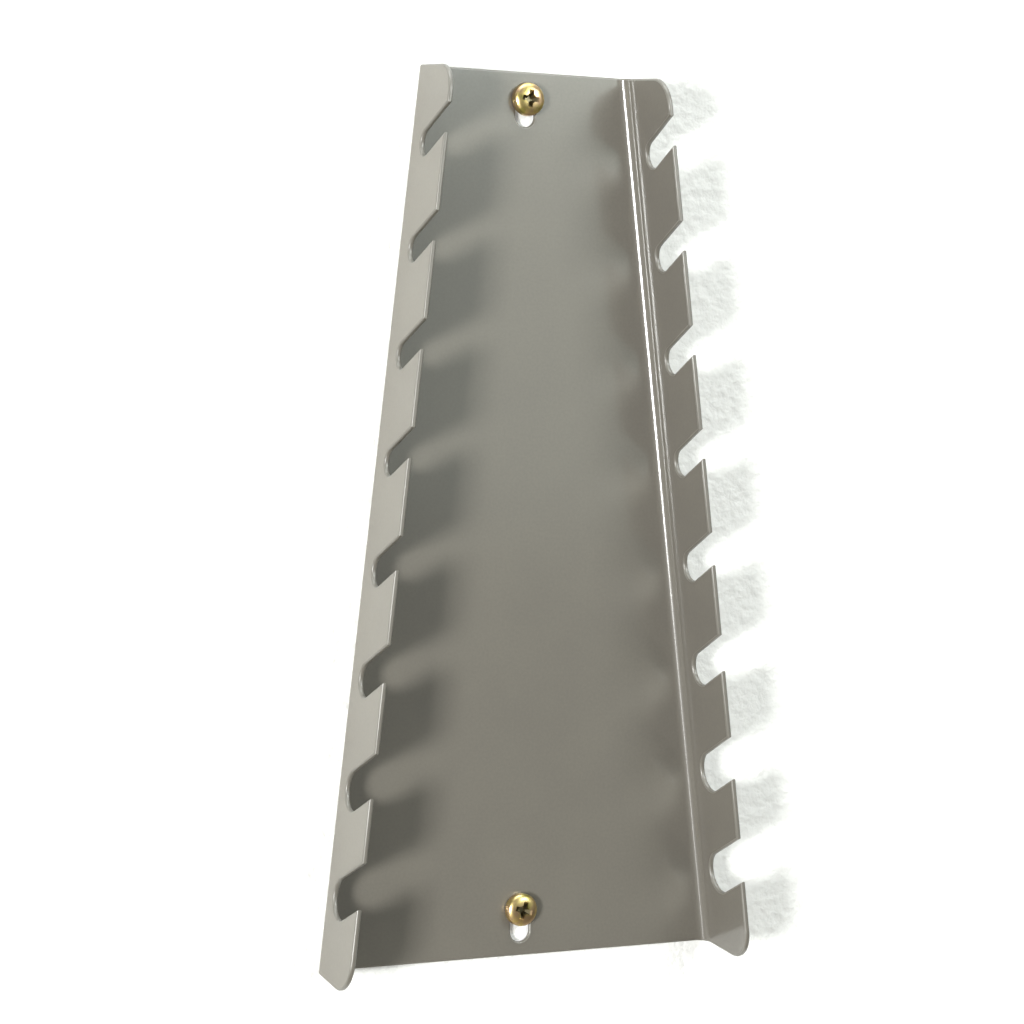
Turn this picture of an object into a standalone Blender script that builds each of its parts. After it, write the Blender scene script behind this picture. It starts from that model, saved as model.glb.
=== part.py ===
"""Wall rack for wrenches: one cut and folded steel sheet, hung on two screws in wall plugs.

Units are metres. X runs to the right, Y into the wall and Z up. The origin is the middle of the
back plate's rear face, which lies on the wall.
"""
import bpy
import bmesh
from math import asin, atan2, ceil, cos, pi, radians, sin, tan
from mathutils import Matrix, Vector

MM = 0.001
GAP = 0.3 * MM                      # clearance between neighbouring pieces
WELD = 0.0003 * MM                  # points closer than this are one
SMOOTH_ANGLE = radians(25)          # facets that meet at less are shaded as one surface

# Sheet and folds
SHEET = 1.5 * MM
BEND_RADIUS = 3.0 * MM              # inner radius of both folds
BEND_STEPS = 6
TOP_WIDTH = 67.3 * MM               # over the flanges' outer faces
BOTTOM_WIDTH = 126.2 * MM
FLANGE_DEPTH = 27.0 * MM            # from the wall to the flange's free edge
CORNER_RADIUS = 9.0 * MM            # free corners of the flanges
CORNER_STEP = radians(12)           # largest turn between two facets of a corner

# Wrench slots, measured along the fold from the top
TOP_LAND = 13.5 * MM                # flange above the first slot's mouth
BOTTOM_LAND = 21.9 * MM             # flange below the last slot's mouth
SLOT_PITCH = 30.0 * MM
SMALL_SLOT_WIDTH = 7.8 * MM
SMALL_SLOT_COUNT = 4
LARGE_SLOT_WIDTHS = (8.7 * MM, 9.6 * MM, 11.3 * MM, 11.7 * MM)
SLOT_SLOPE = radians(23.5)          # the slots run down towards the wall
SLOT_END_DEPTH = 12.9 * MM          # centre of the round end, in from the free edge
SLOT_END_STEPS = 10

# Screws
SCREW_DIAMETER = 4.8 * MM
SCREW_LENGTH = 38.0 * MM            # under the head
POINT_LENGTH = 6.0 * MM
HEAD_DIAMETER = 9.5 * MM
HEAD_HEIGHT = 3.3 * MM
HEAD_RIM = 1.0 * MM                 # straight side of the head
CROWN_STEPS = 6                     # facets from the middle of the head to its rim
RECESS_SPAN = 5.2 * MM
RECESS_WIDTH = 1.3 * MM
RECESS_DEPTH = 2.0 * MM
RECESS_TAPER = 0.5                  # share of the span left at the recess floor
ROUND_STEPS = 32
UPPER_TURN = radians(6.0)           # how far each cross stands turned from upright
LOWER_TURN = radians(18.0)

# Screw slots in the back plate
SLOT_PLAY = 1.2 * MM                # screw slot's width beyond the screw's
SCREW_SLOT_LENGTH = 12.3 * MM
UPPER_SLOT_DROP = 9.7 * MM          # slot's middle below the plate's top edge
LOWER_SLOT_RISE = 10.2 * MM         # slot's middle above the plate's bottom edge
UPPER_SCREW_RISE = 1.6 * MM         # upper screw above its slot's middle

# Wall plugs
PLUG_LENGTH = 35.0 * MM
PLUG_WALL = 1.3 * MM
PLUG_SINK = 2.3 * MM                # plug's mouth behind the wall's face
PLUG_COLLAR = 5.0 * MM              # smooth length at the mouth
PLUG_BARBS = 6
BARB_DEPTH = 0.6 * MM
SLIT_WIDTH = 1.2 * MM               # slit that parts the plug's two legs
SLIT_START = 10.0 * MM              # behind the plug's mouth
PLUG_STEPS = 24

# Sizes that follow
slot_widths = (SMALL_SLOT_WIDTH,) * SMALL_SLOT_COUNT + LARGE_SLOT_WIDTHS
slot_mouths = [width / cos(SLOT_SLOPE) for width in slot_widths]
fold_length = TOP_LAND + SLOT_PITCH * (len(slot_widths) - 1) + slot_mouths[-1] + BOTTOM_LAND
taper = asin((BOTTOM_WIDTH - TOP_WIDTH) / 2 / fold_length)
plate_height = fold_length * cos(taper)
outer_radius = BEND_RADIUS + SHEET
bend_length = outer_radius * pi / 2
flange_reach = bend_length + FLANGE_DEPTH - outer_radius   # developed, from the start of the bend
screw_slot_width = SCREW_DIAMETER + SLOT_PLAY
upper_slot_z = plate_height / 2 - UPPER_SLOT_DROP
lower_slot_z = LOWER_SLOT_RISE - plate_height / 2
lower_screw_z = lower_slot_z + SCREW_SLOT_LENGTH / 2 - SCREW_DIAMETER / 2 - GAP
upper_screw_z = upper_slot_z + UPPER_SCREW_RISE
screw_side = SLOT_PLAY / 2 - GAP    # each screw bears towards one side of its slot
plug_bore = SCREW_DIAMETER + 2 * GAP
plug_diameter = plug_bore + 2 * PLUG_WALL

# Directions in the flat blank, for the right-hand side: down the fold and outwards from it
FOLD = Vector((sin(taper), -cos(taper)))
OUT = Vector((cos(taper), sin(taper)))
corner_top = Vector((TOP_WIDTH / 2, plate_height / 2))
bend_start = corner_top - OUT * outer_radius


def clear_scene():
    for item in list(bpy.data.objects):
        bpy.data.objects.remove(item, do_unlink=True)


def collection(name):
    made = bpy.data.collections.new(name)
    bpy.context.scene.collection.children.link(made)
    return made


def paint(name, colour, roughness, metallic):
    made = bpy.data.materials.new(name)
    made.use_nodes = True
    shader = made.node_tree.nodes["Principled BSDF"]
    shader.inputs["Base Color"].default_value = (*colour, 1.0)
    shader.inputs["Roughness"].default_value = roughness
    shader.inputs["Metallic"].default_value = metallic
    made.diffuse_color = (*colour, 1.0)
    return made


def arc(centre, radius, start, end, steps):
    """Points of a circular arc between two angles, both ends included."""
    turns = [start + (end - start) * k / steps for k in range(steps + 1)]
    return [centre + Vector((cos(turn), sin(turn))) * radius for turn in turns]


def rounded_corner(before, corner, after, radius):
    """Arc that rounds the corner between two straight edges."""
    to_before = (before - corner).normalized()
    to_after = (after - corner).normalized()
    half = to_before.angle(to_after) / 2
    centre = corner + (to_before + to_after).normalized() * radius / sin(half)
    first = corner + to_before * radius / tan(half) - centre
    last = corner + to_after * radius / tan(half) - centre
    sweep = last.angle_signed(first)
    steps = ceil(abs(sweep) / CORNER_STEP)
    start = atan2(first.y, first.x)
    return arc(centre, radius, start, start + sweep, steps)


def on_flange(along, inwards):
    """Point of the flat blank: a distance down the fold, and one in from the free edge."""
    return bend_start + FOLD * along + OUT * (flange_reach - inwards)


def slot_outline(along, width, mouth):
    """One slot, from its upper mouth corner round the end to its lower one."""
    run = (FOLD * sin(SLOT_SLOPE) - OUT * cos(SLOT_SLOPE)).normalized()
    middle = on_flange(along + mouth / 2, 0) + run * SLOT_END_DEPTH / cos(SLOT_SLOPE)
    heading = atan2(run.y, run.x) % (2 * pi)
    end = arc(middle, width / 2, heading - pi / 2, heading + pi / 2, SLOT_END_STEPS)
    return [on_flange(along, 0), *end, on_flange(along + mouth, 0)]


def edge_meets(level):
    """Where the free edge's line crosses a level end of the blank."""
    start = on_flange(0, 0)
    return start + FOLD * ((level - start.y) / FOLD.y)


def right_side():
    """Right half of the blank's outline, from the top end to the bottom end."""
    top, bottom = plate_height / 2, -plate_height / 2
    upper_tip, lower_tip = edge_meets(top), edge_meets(bottom)
    points = rounded_corner(Vector((0, top)), upper_tip, lower_tip, CORNER_RADIUS)
    for index, (width, mouth) in enumerate(zip(slot_widths, slot_mouths)):
        points += slot_outline(TOP_LAND + SLOT_PITCH * index, width, mouth)
    points += rounded_corner(upper_tip, lower_tip, Vector((0, bottom)), CORNER_RADIUS)
    return points


def screw_slot(level):
    """Upright slot with round ends on the plate's middle line."""
    radius = screw_slot_width / 2
    rise = Vector((0, SCREW_SLOT_LENGTH / 2 - radius))
    middle = Vector((0, level))
    upper = arc(middle + rise, radius, 0, pi, SLOT_END_STEPS)
    lower = arc(middle - rise, radius, pi, 2 * pi, SLOT_END_STEPS)
    return upper + lower


def flat_mesh(name, outlines, thickness):
    """Mesh of a filled 2D curve with holes, from 0 to the thickness along its own Z."""
    data = bpy.data.curves.new(name, "CURVE")
    data.dimensions = "2D"
    data.fill_mode = "BOTH"
    data.extrude = thickness / 2
    for outline in outlines:
        spline = data.splines.new("POLY")
        spline.points.add(len(outline) - 1)
        for point, place in zip(spline.points, outline):
            point.co = (place.x, place.y, 0, 1)
        spline.use_cyclic_u = True
    guide = bpy.data.objects.new(name, data)
    bpy.context.scene.collection.objects.link(guide)
    graph = bpy.context.evaluated_depsgraph_get()
    mesh = bpy.data.meshes.new_from_object(guide.evaluated_get(graph))
    bpy.data.objects.remove(guide, do_unlink=True)
    bpy.data.curves.remove(data)
    shape = bmesh.new()
    shape.from_mesh(mesh)
    bmesh.ops.remove_doubles(shape, verts=shape.verts, dist=WELD)
    bmesh.ops.translate(shape, verts=shape.verts, vec=(0, 0, thickness / 2))
    bmesh.ops.recalc_face_normals(shape, faces=shape.faces)
    shape.to_mesh(mesh)
    shape.free()
    return mesh


def add_object(name, mesh, where, material):
    made = bpy.data.objects.new(name, mesh)
    where.objects.link(made)
    if material:
        mesh.materials.clear()
        mesh.materials.append(material)
    return made


def cut_bend_lines(shape, side):
    """Cuts the flat blank along the lines where one fold's facets will meet."""
    out = Vector((OUT.x * side, 0, OUT.y))
    start = Vector((bend_start.x * side, 0, bend_start.y))
    for step in range(BEND_STEPS + 1):
        place = start + out * bend_length * step / BEND_STEPS
        everything = shape.verts[:] + shape.edges[:] + shape.faces[:]
        bmesh.ops.bisect_plane(shape, geom=everything, plane_co=place, plane_no=out, dist=WELD)


def fold_up(shape, side):
    """Wraps what lies past one bend's start round the bend, and stands the rest forward as the flange."""
    out = Vector((OUT.x * side, 0, OUT.y))
    start = Vector((bend_start.x * side, 0, bend_start.y))
    for vert in shape.verts:
        past = (vert.co - start).dot(out)
        if past <= 0:
            continue
        layer = -vert.co.y
        turn = min(past, bend_length) / outer_radius
        radius = outer_radius - layer
        straight = max(past - bend_length, 0)
        foot = vert.co - out * past
        foot.y = 0
        reach = radius * sin(turn) + straight * cos(turn)
        rise = outer_radius - radius * cos(turn) + straight * sin(turn)
        vert.co = foot + out * reach + Vector((0, -rise, 0))


def make_rack(where, material):
    """Cuts the blank, then folds both flanges forward."""
    right = right_side()
    left = [Vector((-point.x, point.y)) for point in reversed(right)]
    holes = [screw_slot(level) for level in (upper_slot_z, lower_slot_z)]
    mesh = flat_mesh("rack_body", [right + left, *holes], SHEET)
    shape = bmesh.new()
    shape.from_mesh(mesh)
    # the blank's own X, Y and Z become X, Z and -Y: it lies against the wall with its face forward
    bmesh.ops.rotate(shape, verts=shape.verts, cent=(0, 0, 0), matrix=Matrix.Rotation(pi / 2, 3, "X"))
    for side in (1, -1):
        cut_bend_lines(shape, side)
    for side in (1, -1):
        fold_up(shape, side)
    bmesh.ops.recalc_face_normals(shape, faces=shape.faces)
    shape.to_mesh(mesh)
    shape.free()
    mesh.shade_smooth()
    mesh.set_sharp_from_angle(angle=SMOOTH_ANGLE)
    return add_object("rack_body", mesh, where, material)


def turned(name, profile, steps, where, material):
    """Object turned from a profile of (radius, height) pairs that runs from top to bottom."""
    mesh = bpy.data.meshes.new(name)
    places = [(radius, 0, height) for radius, height in profile]
    links = [(k, k + 1) for k in range(len(places) - 1)]
    mesh.from_pydata(places, links, [])
    made = add_object(name, mesh, where, material)
    spin = made.modifiers.new("turn", "SCREW")
    spin.steps = steps
    spin.render_steps = steps
    spin.use_merge_vertices = True
    spin.merge_threshold = WELD
    return made


def screw_profile():
    """Head's dome, rim and bearing face, shank and point; height 0 is the bearing face."""
    rim = HEAD_DIAMETER / 2
    shank = SCREW_DIAMETER / 2
    dome = HEAD_HEIGHT - HEAD_RIM
    sphere = (rim * rim + dome * dome) / (2 * dome)
    widest = asin(rim / sphere)
    turns = [widest * k / CROWN_STEPS for k in range(CROWN_STEPS + 1)]
    crown = [(sphere * sin(turn), HEAD_HEIGHT - sphere * (1 - cos(turn))) for turn in turns]
    return [*crown, (rim, 0), (shank, 0), (shank, POINT_LENGTH - SCREW_LENGTH), (0, -SCREW_LENGTH)]


def recess_mesh():
    """Cross-shaped cutter that narrows towards the recess floor."""
    arm, half = RECESS_SPAN / 2, RECESS_WIDTH / 2
    quarter = [Vector((arm, -half)), Vector((arm, half)), Vector((half, half))]
    outline = [Matrix.Rotation(pi / 2 * k, 2) @ point for k in range(4) for point in quarter]
    height = HEAD_HEIGHT + RECESS_DEPTH
    mesh = flat_mesh("recess", [outline], height)
    for vert in mesh.vertices:
        if vert.co.z < height / 2:
            vert.co.x *= RECESS_TAPER
            vert.co.y *= RECESS_TAPER
        vert.co.z += HEAD_HEIGHT - RECESS_DEPTH
    return mesh


def cut(target, cutter):
    cutter.hide_render = True
    cutter.display_type = "WIRE"
    made = target.modifiers.new(cutter.name, "BOOLEAN")
    made.operation = "DIFFERENCE"
    made.solver = "EXACT"
    made.object = cutter


def make_screw(name, place, turn, where, cutters, material):
    """Screw with its head in front of the sheet and its point in the wall."""
    axis = bpy.data.objects.new(name + "_axis", None)
    where.objects.link(axis)
    axis.location = place
    axis.rotation_euler = (pi / 2, turn, 0)
    screw = turned(name, screw_profile(), ROUND_STEPS, where, material)
    recess = add_object(name + "_recess", recess_mesh(), cutters, None)
    for piece in (screw, recess):
        piece.parent = axis
    cut(screw, recess)
    screw.data.shade_smooth()
    return screw


def plug_profile():
    """Barbed tube, mouth at height 0, open at its far end; the bore clears the screw."""
    bore = plug_bore / 2
    outer = plug_diameter / 2
    barbed = PLUG_LENGTH - PLUG_COLLAR
    barbs = []
    for k in range(PLUG_BARBS):
        near = -PLUG_COLLAR - barbed * k / PLUG_BARBS
        far = -PLUG_COLLAR - barbed * (k + 1) / PLUG_BARBS
        barbs += [(outer, near), (outer - BARB_DEPTH, far)]
    return [(bore, 0), (outer, 0), *barbs, (bore, -PLUG_LENGTH), (bore, 0)]


def slit_mesh():
    """Block that parts the plug's legs and runs out past its far end."""
    mesh = bpy.data.meshes.new("slit")
    shape = bmesh.new()
    bmesh.ops.create_cube(shape, size=1)
    size = (SLIT_WIDTH, 2 * plug_diameter, 2 * (PLUG_LENGTH - SLIT_START))
    bmesh.ops.scale(shape, verts=shape.verts, vec=size)
    bmesh.ops.translate(shape, verts=shape.verts, vec=(0, 0, -PLUG_LENGTH))
    shape.to_mesh(mesh)
    shape.free()
    return mesh


def make_plug(name, place, where, cutters, material):
    axis = bpy.data.objects.new(name + "_axis", None)
    where.objects.link(axis)
    axis.location = place
    axis.rotation_euler = (pi / 2, 0, 0)
    plug = turned(name, plug_profile(), PLUG_STEPS, where, material)
    slit = add_object(name + "_slit", slit_mesh(), cutters, None)
    for piece in (plug, slit):
        piece.parent = axis
    cut(plug, slit)
    return plug


def main():
    clear_scene()
    rack = collection("wrench_rack")
    cutters = collection("cutters")
    coat = paint("grey_powder_coat", (0.24, 0.235, 0.215), 0.35, 0.0)
    zinc = paint("yellow_zinc", (0.62, 0.42, 0.14), 0.3, 1.0)
    nylon = paint("grey_nylon", (0.35, 0.35, 0.36), 0.5, 0.0)
    make_rack(rack, coat)
    upper = ("upper", upper_screw_z, screw_side, UPPER_TURN)
    lower = ("lower", lower_screw_z, -screw_side, LOWER_TURN)
    for name, level, side, turn in (upper, lower):
        seat = (side, -SHEET - GAP, level)
        mouth = (side, PLUG_SINK, level)
        make_screw(name + "_screw", seat, turn, rack, cutters, zinc)
        make_plug(name + "_wall_plug", mouth, rack, cutters, nylon)


main()
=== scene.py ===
# %% [markdown]
# # Dressing a wrench rack
#
# The rack is one steel sheet, cut flat, folded forward along two lines and coated in grey powder. Two
# yellow zinc screws hold it to the wall, in plugs that nobody sees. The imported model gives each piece's
# place and how it moves. This lesson rebuilds the pieces with their fine shapes, gives each one the
# finish of the real material, and lights them like the photograph.

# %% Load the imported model
from math import asin, atan2, ceil, cos, hypot, pi, radians, sin, tan

import bmesh
import bpy
from mathutils import Matrix, Quaternion, Vector


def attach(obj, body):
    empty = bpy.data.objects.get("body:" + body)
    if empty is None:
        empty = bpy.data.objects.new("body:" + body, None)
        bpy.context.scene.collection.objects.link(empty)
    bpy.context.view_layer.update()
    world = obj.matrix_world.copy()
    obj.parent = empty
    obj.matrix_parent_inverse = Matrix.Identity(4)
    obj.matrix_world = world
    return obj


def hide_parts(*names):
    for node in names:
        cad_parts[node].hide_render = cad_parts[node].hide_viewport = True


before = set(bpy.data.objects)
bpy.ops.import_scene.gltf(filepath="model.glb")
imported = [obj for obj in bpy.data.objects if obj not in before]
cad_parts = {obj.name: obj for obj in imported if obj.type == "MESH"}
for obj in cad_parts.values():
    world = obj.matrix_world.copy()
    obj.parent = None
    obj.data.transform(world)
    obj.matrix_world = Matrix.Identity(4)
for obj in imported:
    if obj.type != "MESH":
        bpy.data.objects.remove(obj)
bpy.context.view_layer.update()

MM = 0.001
print("nodes:", sorted(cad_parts))

# %% [markdown]
# ## Small helpers
#
# Nodes are used for materials and for shapes alike, so one function adds a node of any kind and fills
# its inputs. Colours are written as the hex values that a colour picker shows, and one function turns
# them into the linear numbers that Blender works with.

# %% Helpers for nodes and colours
def add(tree, kind, inputs=(), **settings):
    """Adds a node; each input is a plain value, or another node's output to link."""
    made = tree.nodes.new(kind)
    for name, value in settings.items():
        setattr(made, name, value)
    pairs = inputs.items() if isinstance(inputs, dict) else enumerate(inputs)
    for key, value in pairs:
        if isinstance(value, bpy.types.NodeSocket):
            tree.links.new(value, made.inputs[key])
        else:
            made.inputs[key].default_value = value
    return made


def linear(code):
    """Linear RGBA of an sRGB hex value such as 8B8982."""
    parts = [int(code[k:k + 2], 16) / 255 for k in (0, 2, 4)]
    values = [part / 12.92 if part <= 0.04045 else ((part + 0.055) / 1.055) ** 2.4 for part in parts]
    return (*values, 1.0)


def new_material(name):
    """Material with a plain Principled shader; returns the material, its tree and the shader."""
    made = bpy.data.materials.new(name)
    made.use_nodes = True
    return made, made.node_tree, made.node_tree.nodes["Principled BSDF"]


print("hex 808080 is", round(linear("808080")[0], 3), "in linear light")

# %% Helpers for shapes
def new_object(name, mesh):
    made = bpy.data.objects.new(name, mesh)
    bpy.context.scene.collection.objects.link(made)
    return made


def new_tree(name, inputs):
    """Geometry Nodes tree with named inputs; returns the tree and its input and output nodes."""
    tree = bpy.data.node_groups.new(name, "GeometryNodeTree")
    tree.interface.new_socket("Geometry", in_out="INPUT", socket_type="NodeSocketGeometry")
    tree.interface.new_socket("Geometry", in_out="OUTPUT", socket_type="NodeSocketGeometry")
    for label, kind in inputs.items():
        tree.interface.new_socket(label, in_out="INPUT", socket_type=kind)
    return tree, tree.nodes.new("NodeGroupInput"), tree.nodes.new("NodeGroupOutput")


def run_tree(piece, tree, values):
    """Gives the piece a Geometry Nodes modifier and sets its inputs by their identifiers."""
    modifier = piece.modifiers.new(tree.name, "NODES")
    modifier.node_group = tree
    for item in tree.interface.items_tree:
        if item.in_out == "INPUT" and item.name in values:
            modifier[item.identifier] = values[item.name]


def settle(piece, place=Matrix.Identity(4)):
    """Turns what the modifiers make into the piece's own plain mesh, moved to its place."""
    graph = bpy.context.evaluated_depsgraph_get()
    mesh = bpy.data.meshes.new_from_object(piece.evaluated_get(graph))
    piece.modifiers.clear()
    mesh.transform(place)
    piece.data = mesh
    mesh.name = piece.name
    return piece


# %% [markdown]
# ## Powder coat
#
# The sheet is coated in polyester powder: dry grains cling to the steel and melt together in an oven.
# That gives a satin skin which flows round the cut edges and settles with a faint orange peel, waves
# about two millimetres long. A Principled shader can hold both depths of such a skin: a hazy base gives
# the broad sheen, and a clear coat layer on it gives the soft reflections of the teeth and the fine bright
# lines on the folds. The mesh says how hazy that layer is on each face: least on the front, more on the
# cut edges, most on the back, which the photograph shows only on the outside of the left flange. There the
# grey is also painted lighter, a painted sheen in place of the reflection that the haze takes away. Noise on
# Object coordinates makes the orange peel and a slight unevenness of tone.

# %% The grey powder coat
COAT_LIGHT = "69655D"
COAT_DARK = "646059"
ORANGE_PEEL = 2.2 * MM
PEEL_DEPTH = 0.006 * MM
TONE_PATCH = 24 * MM
GRAIN = 0.8 * MM                    # real grains melt away; drawn this coarse so that they show
BASE_HAZE = (0.48, 0.53)
BASE_SHINE = 0.35
SKIN_IOR = 1.75                     # polyester has about 1.6; raised to match the lines on the folds
FRONT_HAZE = 0.15                   # keeps the lines on the folds fine and bright
EDGE_HAZE = 0.38                    # softer glints on the cut edges
BACK_HAZE = 0.6                     # a guess: so dull that no lamp shows as a white patch from behind
# painted sheen: the back faces are painted lighter for the reflection that the haze takes away
BACK_PAINTED_SHEEN = 1.3                    # gives the left flange back the tone that the haze takes from it

coat, tree, shader = new_material("satin_powder_coat")
place = add(tree, "ShaderNodeTexCoord").outputs["Object"]
patches = add(tree, "ShaderNodeTexNoise", {"Vector": place, "Scale": 1 / TONE_PATCH, "Detail": 3.0})
grains = add(tree, "ShaderNodeTexNoise", {"Vector": place, "Scale": 1 / GRAIN, "Detail": 1.0})
peel = add(tree, "ShaderNodeTexNoise", {"Vector": place, "Scale": 1 / ORANGE_PEEL, "Detail": 1.0})
both = add(tree, "ShaderNodeMath", (patches.outputs["Fac"], grains.outputs["Fac"]), operation="ADD")
tone = add(tree, "ShaderNodeMapRange", {"Value": both.outputs[0], "From Min": 0.7, "From Max": 1.3})
shades = {0: tone.outputs[0], 6: linear(COAT_DARK), 7: linear(COAT_LIGHT)}
grey = add(tree, "ShaderNodeMix", shades, data_type="RGBA")
# painted sheen: the grey of the back faces is scaled lighter by how hazy the coat is there
skin = add(tree, "ShaderNodeAttribute", attribute_name="haze_and_painted_sheen").outputs["Fac"]
painted_sheen_scale = add(tree, "ShaderNodeMapRange", {
    "Value": skin,
    "From Min": EDGE_HAZE,
    "From Max": BACK_HAZE,
    "To Min": 1.0,
    "To Max": BACK_PAINTED_SHEEN,
})
grey_with_painted_sheen = add(tree, "ShaderNodeVectorMath", {0: grey.outputs[2], "Scale": painted_sheen_scale.outputs[0]}, operation="SCALE")
haze = add(tree, "ShaderNodeMapRange", {
    "Value": patches.outputs["Fac"],
    "To Min": BASE_HAZE[0],
    "To Max": BASE_HAZE[1],
})
waves = add(tree, "ShaderNodeBump", {"Distance": PEEL_DEPTH, "Height": peel.outputs["Fac"]})
tree.links.new(grey_with_painted_sheen.outputs[0], shader.inputs["Base Color"])
tree.links.new(haze.outputs[0], shader.inputs["Roughness"])
tree.links.new(waves.outputs[0], shader.inputs["Normal"])
tree.links.new(waves.outputs[0], shader.inputs["Coat Normal"])
tree.links.new(skin, shader.inputs["Coat Roughness"])
shader.inputs["Specular IOR Level"].default_value = BASE_SHINE
shader.inputs["Coat Weight"].default_value = 1.0
shader.inputs["Coat IOR"].default_value = SKIN_IOR
print("made", coat.name)

# %% [markdown]
# ## The sheet, cut flat
#
# Such a rack is cut from flat sheet first, teeth and screw slots with it, and folded after. The same order
# works here: a filled 2D curve gives the blank, its bevel rounds the edges as the shear and the coat do,
# and the mesh is folded afterwards. The sizes are the ones the solid model has. One side is drawn from the
# top down, and the other is its mirror image.

# %% Sizes of the sheet
SHEET = 1.5 * MM
BEND_RADIUS = 3.0 * MM              # inner radius of both folds
TOP_WIDTH = 67.3 * MM
BOTTOM_WIDTH = 126.2 * MM
FLANGE_DEPTH = 27.0 * MM
CORNER_RADIUS = 9.0 * MM
TOP_LAND = 13.5 * MM
BOTTOM_LAND = 21.9 * MM
SLOT_PITCH = 30.0 * MM
SLOT_WIDTHS = [width * MM for width in (7.8, 7.8, 7.8, 7.8, 8.7, 9.6, 11.3, 11.7)]
SLOT_SLOPE = radians(23.5)
SLOT_END_DEPTH = 12.9 * MM
SCREW_SLOT_WIDTH = 6.0 * MM
SCREW_SLOT_LENGTH = 12.3 * MM
UPPER_SLOT_DROP = 9.7 * MM
LOWER_SLOT_RISE = 10.2 * MM
EDGE_RADIUS = 0.55 * MM             # rolled over by the shear and filled out by the coat
EDGE_STEPS = 3
BEND_STEPS = 16
ARC_STEP = radians(6)
WELD = 0.001 * MM
FLAT = 0.99                         # a face this square to the wall lies on the front or the back
SHEET_CREASE = radians(40)

slot_mouths = [width / cos(SLOT_SLOPE) for width in SLOT_WIDTHS]
fold_length = TOP_LAND + SLOT_PITCH * (len(SLOT_WIDTHS) - 1) + slot_mouths[-1] + BOTTOM_LAND
taper = asin((BOTTOM_WIDTH - TOP_WIDTH) / 2 / fold_length)
top = fold_length * cos(taper) / 2
outer_radius = BEND_RADIUS + SHEET
bend_length = outer_radius * pi / 2
flange_reach = bend_length + FLANGE_DEPTH - outer_radius
down_fold = Vector((sin(taper), -cos(taper)))
outwards = Vector((cos(taper), sin(taper)))
bend_start = Vector((TOP_WIDTH / 2, top)) - outwards * outer_radius
print("plate height mm:", round(2 * top / MM, 2))


# %% Outline of the blank
def arc(centre, radius, start, sweep):
    """Points of an arc, both ends included."""
    steps = ceil(abs(sweep) / ARC_STEP)
    turns = [start + sweep * k / steps for k in range(steps + 1)]
    return [centre + Vector((cos(turn), sin(turn))) * radius for turn in turns]


def rounded_corner(before, corner, after, radius):
    """Arc that rounds the corner between two straight edges."""
    back = (before - corner).normalized()
    on = (after - corner).normalized()
    half = back.angle(on) / 2
    centre = corner + (back + on).normalized() * radius / sin(half)
    first = corner + back * radius / tan(half) - centre
    last = corner + on * radius / tan(half) - centre
    return arc(centre, radius, atan2(first.y, first.x), last.angle_signed(first))


def on_flange(along, inwards):
    """Point of the flat blank: so far down the fold, and so far in from the free edge."""
    return bend_start + down_fold * along + outwards * (flange_reach - inwards)


def wrench_slot(along, width, mouth):
    """One slot, from its upper mouth corner round the end to its lower one."""
    upper, lower = on_flange(along, 0), on_flange(along + mouth, 0)
    run = (down_fold * sin(SLOT_SLOPE) - outwards * cos(SLOT_SLOPE)).normalized()
    middle = (upper + lower) / 2 + run * SLOT_END_DEPTH / cos(SLOT_SLOPE)
    heading = atan2(run.y, run.x) % (2 * pi)
    return [upper, *arc(middle, width / 2, heading - pi / 2, pi), lower]


def half_blank():
    """Right half of the outline, from the top end to the bottom end."""
    edge = on_flange(0, 0)
    upper_tip = edge + down_fold * ((top - edge.y) / down_fold.y)
    lower_tip = edge + down_fold * ((-top - edge.y) / down_fold.y)
    points = rounded_corner(Vector((0, top)), upper_tip, lower_tip, CORNER_RADIUS)
    for number, (width, mouth) in enumerate(zip(SLOT_WIDTHS, slot_mouths)):
        points += wrench_slot(TOP_LAND + SLOT_PITCH * number, width, mouth)
    return points + rounded_corner(upper_tip, lower_tip, Vector((0, -top)), CORNER_RADIUS)


def screw_slot(level):
    """Upright slot with round ends on the middle line."""
    radius = SCREW_SLOT_WIDTH / 2
    rise = Vector((0, SCREW_SLOT_LENGTH / 2 - radius))
    middle = Vector((0, level))
    return arc(middle + rise, radius, 0, pi) + arc(middle - rise, radius, pi, pi)


right_half = half_blank()
left_half = [Vector((-point.x, point.y)) for point in reversed(right_half)]
upper_slot = screw_slot(top - UPPER_SLOT_DROP)
lower_slot = screw_slot(LOWER_SLOT_RISE - top)
blank_outlines = [right_half + left_half, upper_slot, lower_slot]
print("points round the blank:", len(blank_outlines[0]))


# %% Cut the blank
def filled_curve(name, outlines, thickness, edge):
    """Mesh of a filled 2D curve with round edges, from 0 to the thickness along its own Z."""
    data = bpy.data.curves.new(name, "CURVE")
    data.dimensions = "2D"
    data.fill_mode = "BOTH"
    data.extrude = thickness / 2 - edge
    data.bevel_depth = edge
    data.bevel_resolution = EDGE_STEPS
    data.offset = -edge
    for outline in outlines:
        spline = data.splines.new("POLY")
        spline.points.add(len(outline) - 1)
        for point, spot in zip(spline.points, outline):
            point.co = (spot.x, spot.y, 0, 1)
        spline.use_cyclic_u = True
    guide = new_object(name, data)
    graph = bpy.context.evaluated_depsgraph_get()
    mesh = bpy.data.meshes.new_from_object(guide.evaluated_get(graph))
    bpy.data.objects.remove(guide)
    mesh.transform(Matrix.Translation((0, 0, thickness / 2)))
    return mesh


def cut_bend_lines(shape):
    """Cuts the blank where the facets of both folds will meet."""
    for side in (1, -1):
        across = Vector((outwards.x * side, 0, outwards.y))
        start = Vector((bend_start.x * side, 0, bend_start.y))
        for step in range(BEND_STEPS + 1):
            spot = start + across * bend_length * step / BEND_STEPS
            everything = shape.verts[:] + shape.edges[:] + shape.faces[:]
            bmesh.ops.bisect_plane(shape, geom=everything, plane_co=spot, plane_no=across, dist=WELD)


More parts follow.
